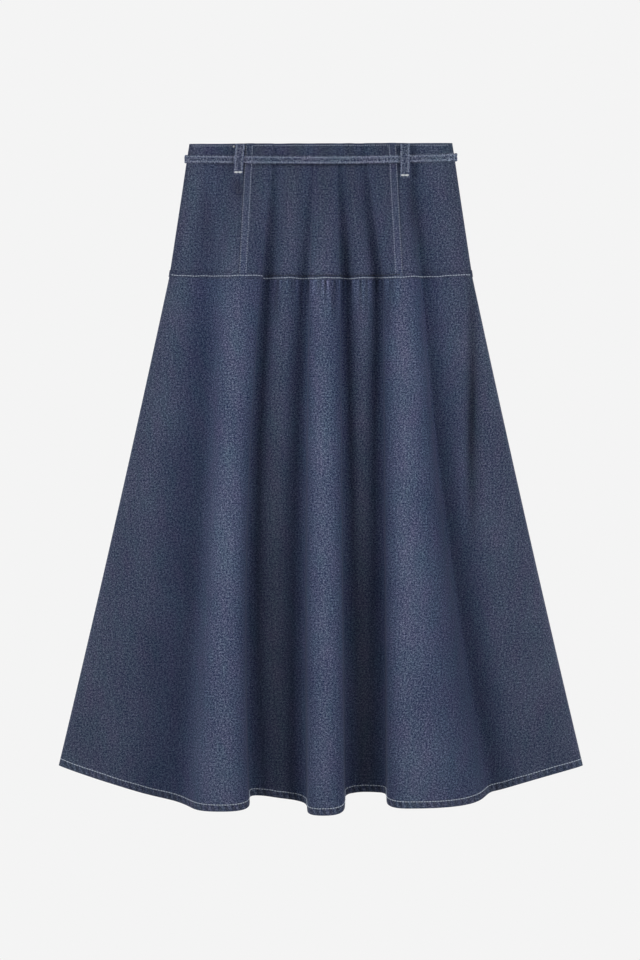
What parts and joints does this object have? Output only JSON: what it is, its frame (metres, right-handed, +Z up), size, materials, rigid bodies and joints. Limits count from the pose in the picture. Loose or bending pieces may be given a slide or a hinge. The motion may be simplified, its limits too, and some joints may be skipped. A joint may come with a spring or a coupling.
{
  "type": "denim skirt",
  "caption": "A-line denim skirt laid flat on its back, with a hip yoke, a narrow belt in belt loops, a gathered skirt panel with deep soft folds, and a topstitched hem.",
  "frame": {"origin": "on the surface that the skirt lies on, under the middle of its bounding box", "axes": "+X across the skirt to its right in the view from above, +Y up the skirt to its waist, +Z up off the surface"},
  "size_m": [0.702, 0.8971, 0.049],
  "materials": {
    "denim": "matte",
    "belt_denim": "matte",
    "topstitch": "matte"
  },
  "bodies": {
    "root": {"front_yoke_left": "denim", "front_yoke_centre": "denim", "front_yoke_right": "denim", "front_skirt": "denim", "back_yoke": "denim", "back_skirt": "denim", "belt": "belt_denim", "belt_loop_front_left": "belt_denim", "belt_loop_front_right": "belt_denim", "belt_loop_back_left": "belt_denim", "belt_loop_back_right": "belt_denim"}
  },
  "joints": []
}
